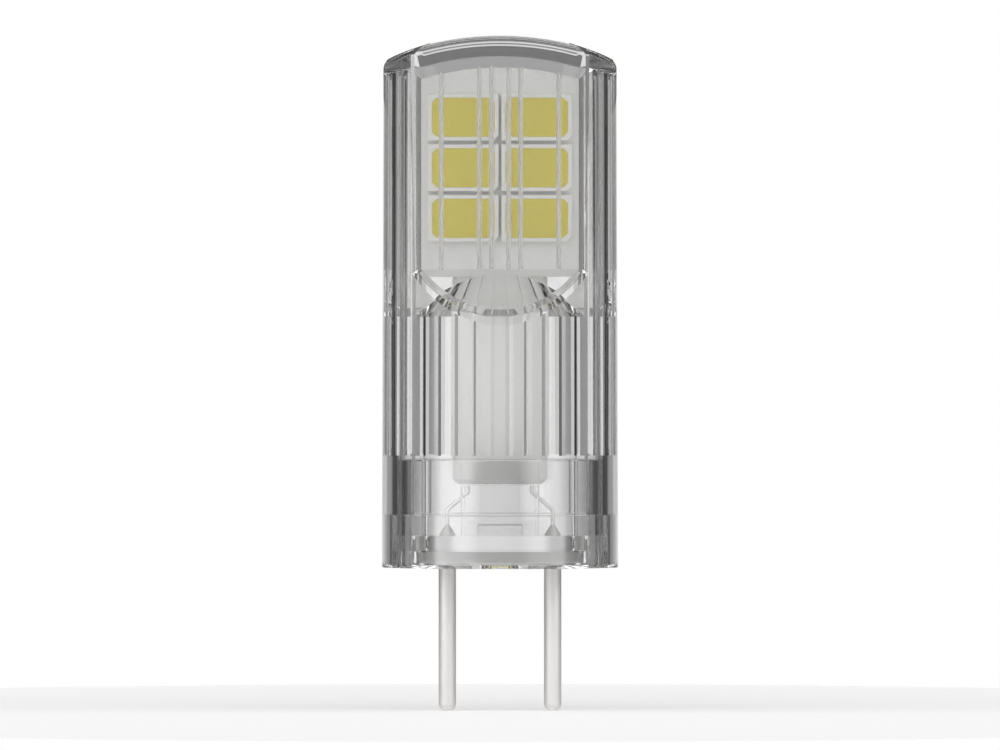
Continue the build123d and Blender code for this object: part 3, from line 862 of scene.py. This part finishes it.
@dataclass
class BasePlug:
    """The clear plug: skirt, spigot ring, floor, tabs, webs, land and holes, in millimetres."""

    skirt_radius: float = 6.5
    spigot_radius: float = 6.15
    inner_radius: float = 5.6
    rim: float = 0.9
    recess: float = 0.22
    seat: float = 3.2
    floor: float = 1.95
    top: float = 6.5
    tab_half: float = 2.22
    tab_inner: float = 2.91
    tab_thick: float = 0.7
    ledge: float = 0.5
    sleeve_foot: float = 5.0
    web_inner: float = 4.45
    web_thick: float = 0.8
    land: tuple[float, float, float] = (2.64, 3.4, 0.65)
    plate_length: float = 7.58
    plate_depth: float = 3.28
    plate_top: float = 0.96
    pin_x: float = 3.175
    pin_hole: float = 0.38
    hole_x: float = 4.5
    hole_radius: float = 0.45
    rounding: float = 0.1
    rounding_steps: int = 3
    rounded_above: float = 30.0
    sides: int = 192
    hole_sides: int = 48
    plate_steps: int = 24
    crease: float = 18.0
    rooted: float = 0.5
    web_rooted: float = 0.2
    margin: float = 1.0

    def box(
        self, low: tuple[float, float, float], high: tuple[float, float, float]
    ) -> bmesh.types.BMesh:
        """Makes a plain block between two corners."""
        outline = [(low[0], low[1]), (high[0], low[1]), (high[0], high[1]), (low[0], high[1])]
        return prism(outline, low[2], high[2])

    def body(self) -> bmesh.types.BMesh:
        """Makes the plug, its ring first, then what stands on its floor, then its holes."""
        work = disc_stack(self.skirt_radius, self.skirt_radius, 0.0, self.seat, self.sides)
        ring = self.spigot_radius
        spigot = disc_stack(ring, ring, self.margin, self.top, self.sides)
        work = machine(work, spigot, Cut.JOIN)
        inner = self.inner_radius
        room = disc_stack(inner, inner, self.floor, self.top + self.margin, self.sides)
        work = machine(work, room, Cut.AWAY)
        low = self.floor - self.rooted
        half, thick = self.tab_half, self.web_thick / 2
        for side in (-1, 1):
            near, far = side * self.tab_inner, side * (self.tab_inner + self.tab_thick)
            lip = side * (self.tab_inner - self.ledge)
            web = side * self.web_inner, side * (inner + self.web_rooted)
            for block in (
                self.box((-half, min(near, far), low), (half, max(near, far), self.top)),
                self.box((-half, min(lip, far), low), (half, max(lip, far), self.sleeve_foot)),
                self.box((min(web), -thick, low), (max(web), thick, self.top)),
            ):
                work = machine(work, block, Cut.JOIN)
        width, depth, height = self.land
        land = self.box(
            (-width / 2, -depth / 2, low), (width / 2, depth / 2, self.floor + height)
        )
        work = machine(work, land, Cut.JOIN)
        hollow = self.skirt_radius - self.rim
        under = disc_stack(hollow, hollow, -self.margin, self.recess, self.sides)
        work = machine(work, under, Cut.AWAY)
        work = machine(work, self.plate_pocket(), Cut.AWAY)
        for side in (-1, 1):
            for place, radius, high in (
                (self.pin_x, self.pin_hole, self.floor + self.rooted),
                (self.hole_x, self.hole_radius, self.plate_top),
            ):
                hole = disc_stack(radius, radius, -self.margin, high, self.hole_sides)
                bmesh.ops.translate(hole, verts=hole.verts, vec=(side * place, 0.0, 0.0))
                work = machine(work, hole, Cut.AWAY)
        return work

    def plate_pocket(self) -> bmesh.types.BMesh:
        """Makes the round-ended solid that leaves the plate's seat."""
        radius = self.plate_depth / 2
        centre = self.plate_length / 2 - radius
        corners = []
        for side in (1, -1):
            for step in range(self.plate_steps + 1):
                turn = math.radians(-90 + 180 * step / self.plate_steps + (0 if side == 1 else 180))
                corners.append((side * centre + radius * math.cos(turn), radius * math.sin(turn)))
        return prism(corners, -self.margin, self.plate_top)

    def build(self, finishes: Paintbox) -> bpy.types.Object:
        """Builds and dresses the plug.

        Args:
            finishes: the lamp's finishes.

        Returns:
            The plug.
        """
        mesh = round_edges(
            self.body(),
            lambda edge: self.rounding if edge.is_convex else 0.0,
            self.rounding_steps,
            self.rounded_above,
        )
        bmesh.ops.scale(mesh, vec=(MM, MM, MM), verts=mesh.verts)
        plug = put_in_scene("plug_body", mesh, finishes.plug, self.crease)
        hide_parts("base_plug")
        return plug


@dataclass
class ContactPin:
    """One turned pin: rounded tip, coned shoulder, neck and soldering head, in millimetres."""

    hand: Hand
    offset: float = 3.175
    radius: float = 0.525
    neck: float = 0.35
    head: float = 0.5
    peak: float = 0.12
    length: float = 8.65
    tip: float = 0.42
    shoulder: float = 0.22
    floor: float = 1.95
    head_height: float = 0.6
    head_rim: float = 0.02
    edge: float = 0.03
    tip_steps: int = 8
    sides: int = 96
    crease: float = 25.0

    def section(self) -> list[tuple[float, float]]:
        """Gives half the pin's section as pairs of radius and height, tip first."""
        corners = [(0.0, -self.length)]
        centre = self.radius - self.tip, self.tip - self.length
        for step in range(self.tip_steps + 1):
            turn = math.radians(-90 + 90 * step / self.tip_steps)
            corners.append(
                (centre[0] + self.tip * math.cos(turn), centre[1] + self.tip * math.sin(turn))
            )
        return corners + [
            (self.radius, -self.edge),
            (self.radius - self.edge, 0.0),
            (self.neck, self.shoulder),
            (self.neck, self.floor),
            (self.head, self.floor),
            (self.head, self.floor + self.head_rim),
            (self.peak, self.floor + self.head_height),
            (0.0, self.floor + self.head_height),
        ]

    def build(self, finishes: Paintbox) -> bpy.types.Object:
        """Builds and dresses the pin.

        Args:
            finishes: the lamp's finishes.

        Returns:
            The pin.
        """
        mesh = bmesh.new()
        chain = [mesh.verts.new((across, 0.0, height)) for across, height in self.section()]
        edges = [mesh.edges.new(pair) for pair in zip(chain, chain[1:])]
        bmesh.ops.spin(
            mesh,
            geom=chain + edges,
            cent=(0.0, 0.0, 0.0),
            axis=(0.0, 0.0, 1.0),
            angle=math.tau,
            steps=self.sides,
            use_merge=True,
        )
        bmesh.ops.remove_doubles(mesh, verts=mesh.verts, dist=WELD)
        bmesh.ops.recalc_face_normals(mesh, faces=mesh.faces)
        bmesh.ops.translate(mesh, verts=mesh.verts, vec=(self.hand.value * self.offset, 0.0, 0.0))
        bmesh.ops.scale(mesh, vec=(MM, MM, MM), verts=mesh.verts)
        side = self.hand.name.lower()
        piece = put_in_scene("pin_" + side, mesh, finishes.pin, self.crease)
        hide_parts("contact_pin_" + side)
        return piece


@dataclass
class WorkedPart:
    """A part that keeps its CAD surface and gets soft edges and a finish."""

    node: str
    slot: str
    rounding: float = 0.04 * MM
    rounding_steps: int = 3
    above: float = 30.0
    crease: float = 35.0

    def build(self, finish: bpy.types.Material) -> bpy.types.Object:
        """Builds and dresses the part.

        Args:
            finish: the material that dresses it.

        Returns:
            The part.
        """
        mesh = copy_of(self.node)
        if self.rounding:
            soften(mesh, self.rounding, self.rounding_steps, self.above)
        piece = put_in_scene(self.node + "_body", mesh, finish, self.crease)
        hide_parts(self.node)
        return piece


@dataclass
class LedArray:
    """Two rows of three by two LED packages, one on each face of the board."""

    rows: int = 3
    columns: int = 2
    rounding: float = 0.05 * MM

    def build(self, finishes: Paintbox) -> list[bpy.types.Object]:
        """Builds and dresses every package.

        Args:
            finishes: the lamp's finishes.

        Returns:
            The housings and the phosphor fillings.
        """
        pieces = []
        for side in Side:
            for number in range(1, self.rows * self.columns + 1):
                place = side.name.lower() + "_" + str(number)
                housing = WorkedPart("led_housing_" + place, "led_housing", self.rounding)
                pieces.append(housing.build(finishes.housing))
                filling = WorkedPart("led_phosphor_" + place, "phosphor", 0.0)
                pieces.append(filling.build(finishes.phosphor))
        return pieces


@dataclass
class Driver:
    """The driver in its sleeve, with the LED board, the white plate, the wires and the links."""

    def build(self, finishes: Paintbox) -> list[bpy.types.Object]:
        """Builds and dresses each of these parts on its CAD surface.

        Args:
            finishes: the lamp's finishes.

        Returns:
            The pieces.
        """
        parts = [
            (WorkedPart("driver_sleeve", "sleeve_plastic", 0.08 * MM), finishes.sleeve),
            (WorkedPart("led_board", "led_board_white", 0.05 * MM), finishes.resist),
            (WorkedPart("insulating_plate", "white_plastic", 0.08 * MM), finishes.plate),
            (WorkedPart("driver_board", "board_laminate", 0.03 * MM), finishes.laminate),
            (WorkedPart("rectifier_bridge", "black_moulding", 0.03 * MM), finishes.black),
            (WorkedPart("driver_chip", "black_moulding", 0.03 * MM), finishes.black),
            (WorkedPart("smoothing_capacitor", "capacitor_ceramic", 0.0), finishes.ceramic),
            (WorkedPart("choke", "ferrite", 0.03 * MM), finishes.ferrite),
            (WorkedPart("sense_resistor_left", "resistor_ceramic", 0.02 * MM), finishes.black),
            (WorkedPart("sense_resistor_right", "resistor_ceramic", 0.02 * MM), finishes.black),
            (WorkedPart("supply_wire_left", "wire_metal", 0.0), finishes.tin),
            (WorkedPart("supply_wire_right", "wire_metal", 0.0), finishes.tin),
            (WorkedPart("board_link_left", "wire_metal", 0.0), finishes.tin),
            (WorkedPart("board_link_right", "wire_metal", 0.0), finishes.tin),
        ]
        return [part.build(finish) for part, finish in parts]


@dataclass
class Studio:
    """White card, pale walls with dark gaps, a bright roof and the camera.

    The world alone lights the scene. Its levels and heights go by the direction that light
    comes from: a height is the upward part of that direction, from -1 to 1.
    """

    distance: float = 700.0 * MM
    centre_height: float = 11.58 * MM
    pixels_per_mm: float = 16.59
    floor_height: float = -8.65 * MM
    floor_span: float = 60.0 * MM
    floor_sides: int = 96
    bounces: int = 24
    glossy_bounces: int = 12
    # Degrees round the lamp from straight behind it, and the light level there.
    walls: tuple[tuple[float, float], ...] = (
        (0.0, 0.72),
        (16.0, 0.72),
        (20.0, 0.3),
        (34.0, 0.3),
        (38.0, 0.04),
        (72.0, 0.04),
        (77.0, 0.6),
        (92.0, 0.6),
        (96.0, 0.05),
        (108.0, 0.05),
        (114.0, 2.6),
        (146.0, 2.2),
        (160.0, 1.2),
        (180.0, 1.3),
    )
    roof_level: float = 1.8
    zenith_level: float = 0.3
    back_height: float = 0.0243
    back_level: float = 0.1
    back_low: float = 0.3
    back_span: tuple[float, float] = (-0.05, 0.05)
    front_height: float = 0.3
    zenith_height: float = 0.8
    front_low: float = 0.7
    low_span: tuple[float, float] = (-0.12, -0.08)
    front_span: tuple[float, float] = (-0.3, 0.0)
    sides_span: tuple[float, float] = (-0.3, 0.3)
    right_share: float = 0.7
    full: float = 8.0
    sensor: float = 36.0
    clip: tuple[float, float] = (0.01, 10.0)

    def build(self) -> None:
        """Sets up the card, the surroundings and the camera."""
        self.lay_floor()
        self.surround()
        self.place_camera()
        bpy.context.scene.view_settings.view_transform = "Standard"
        cycles = bpy.context.scene.cycles
        cycles.max_bounces = self.bounces
        cycles.transmission_bounces = self.bounces
        cycles.glossy_bounces = self.glossy_bounces

    def lay_floor(self) -> None:
        """Lays the white card that the pins stand on."""
        mesh = bmesh.new()
        bmesh.ops.create_circle(
            mesh, cap_ends=True, segments=self.floor_sides, radius=self.floor_span
        )
        bmesh.ops.translate(mesh, verts=mesh.verts, vec=(0.0, 0.0, self.floor_height))
        data = bpy.data.meshes.new("floor_card")
        mesh.to_mesh(data)
        mesh.free()
        data.materials.append(StudioWhite().make())
        floor = bpy.data.objects.new("floor_card", data)
        bpy.context.scene.collection.objects.link(floor)

    def grey(self, level: float) -> tuple[float, float, float, float]:
        """Gives a light level as a grey share of the full strength."""
        return (level / self.full,) * 3 + (1.0,)

    def wall_light(self, tree: bpy.types.NodeTree, way: bpy.types.Node) -> bpy.types.NodeSocket:
        """Gives the walls' light, by the angle round the lamp from straight behind it.

        Args:
            tree: the world's node tree.
            way: the node that splits the direction into X, Y and Z.

        Returns:
            The socket with the colour, before the band below eye height dims it.
        """
        across = reckon(tree, "ABSOLUTE", way.outputs["X"])
        turn = reckon(tree, "ARCTAN2", across, way.outputs["Y"])
        share = reckon(tree, "DIVIDE", turn, math.pi)
        ramp = add_node(tree, "ShaderNodeValToRGB", inputs={"Fac": share})
        elements = ramp.color_ramp.elements
        elements[0].color = self.grey(self.walls[0][1])
        elements[1].color = self.grey(self.walls[-1][1])
        for angle, level in self.walls[1:-1]:
            elements.new(angle / 180.0).color = self.grey(level)
        right = blend(tree, way.outputs["X"], self.sides_span, 1.0, self.right_share)
        front = blend(tree, way.outputs["Y"], self.front_span, right, 1.0)
        return dimmed(tree, ramp.outputs["Color"], front)

    def surround(self) -> None:
        """Makes the world: walls with dark gaps, a roof with a dimmer top, white to the camera."""
        world = bpy.data.worlds.new("white_tent")
        bpy.context.scene.world = world
        world.use_nodes = True
        tree = world.node_tree
        back = tree.nodes["Background"]
        place = add_node(tree, "ShaderNodeTexCoord")
        way = add_node(tree, "ShaderNodeSeparateXYZ", inputs={"Vector": place.outputs["Generated"]})
        height = way.outputs["Z"]
        behind = blend(tree, way.outputs["Y"], self.back_span, 0.0, 1.0)
        whole = (0.0, 1.0)
        sunk = blend(tree, behind, whole, self.front_low, self.back_low)
        low = blend(tree, height, self.low_span, sunk, 1.0)
        wall = dimmed(tree, self.wall_light(tree, way), low)
        brow = blend(tree, behind, whole, self.front_height, self.back_height)
        over = reckon(tree, "GREATER_THAN", height, brow)
        roof = blend(tree, behind, whole, self.roof_level / self.full, self.back_level / self.full)
        top = reckon(tree, "GREATER_THAN", height, self.zenith_height)
        high = blend(tree, top, whole, roof, self.zenith_level / self.full)
        tent = add_node(tree, "ShaderNodeMix", {"data_type": "RGBA"}, {0: over, 6: wall, 7: high})
        path = add_node(tree, "ShaderNodeLightPath")
        mix = add_node(
            tree,
            "ShaderNodeMix",
            {"data_type": "RGBA"},
            {0: path.outputs["Is Camera Ray"], 6: tent.outputs[2], 7: self.grey(1.0)},
        )
        tree.links.new(mix.outputs[2], back.inputs["Color"])
        back.inputs["Strength"].default_value = self.full

    def place_camera(self) -> None:
        """Sets the camera level with the lamp's middle, straight in front of it."""
        lens = bpy.data.cameras.new("studio_camera")
        lens.sensor_width = self.sensor
        lens.lens = self.sensor * self.distance / (FRAME_PIXELS / self.pixels_per_mm * MM)
        lens.clip_start, lens.clip_end = self.clip
        camera = bpy.data.objects.new("studio_camera", lens)
        camera.location = (0.0, -self.distance, self.centre_height)
        camera.rotation_euler = (math.pi / 2, 0.0, 0.0)
        bpy.context.scene.collection.objects.link(camera)
        bpy.context.scene.camera = camera


def main() -> None:
    """Builds the lamp and its studio, and reports each piece."""
    logging.basicConfig(level=logging.INFO, format="%(name)s: %(message)s")
    finishes = Paintbox()
    pieces = [ClearCover().build(finishes), BasePlug().build(finishes)]
    pieces += [ContactPin(hand).build(finishes) for hand in Hand]
    pieces += Driver().build(finishes)
    pieces += LedArray().build(finishes)
    for piece in pieces:
        LOG.info("%s: %d faces", piece.name, len(piece.data.polygons))
    Studio().build()


if __name__ == "__main__":
    main()
